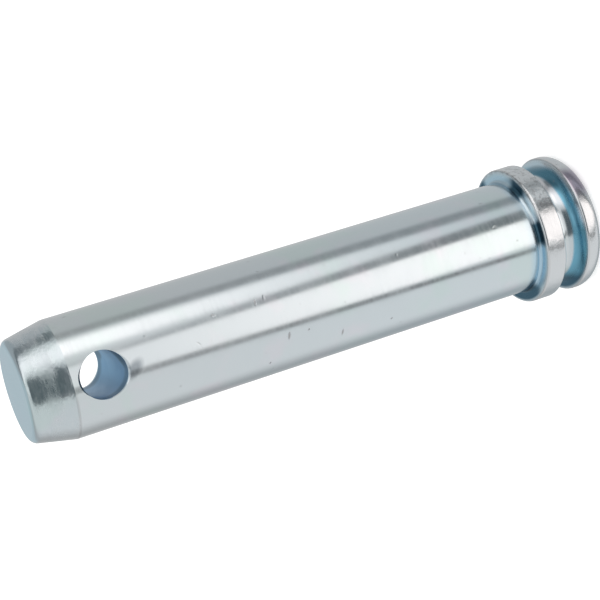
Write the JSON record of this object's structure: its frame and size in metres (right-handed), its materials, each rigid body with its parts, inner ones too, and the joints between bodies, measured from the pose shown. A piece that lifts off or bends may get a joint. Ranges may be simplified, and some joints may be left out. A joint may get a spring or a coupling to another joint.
{
  "type": "hitch pin",
  "caption": "Zinc-plated steel hitch pin with a plain round shank, tapered lead, cross hole for a linch pin, and a grooved collar head.",
  "frame": {"origin": "centre of the head's flat outer face, which the pin stands on", "axes": "+Z along the shank from the head to the tip, +Y along the cross hole, +X square to both"},
  "size_m": [0.034, 0.034, 0.1455],
  "materials": {
    "zinc_plated_steel": "bright zinc plate with a clear blue passivation over fine turning marks"
  },
  "bodies": {
    "root": {"hitch_pin": "zinc_plated_steel"}
  },
  "joints": []
}
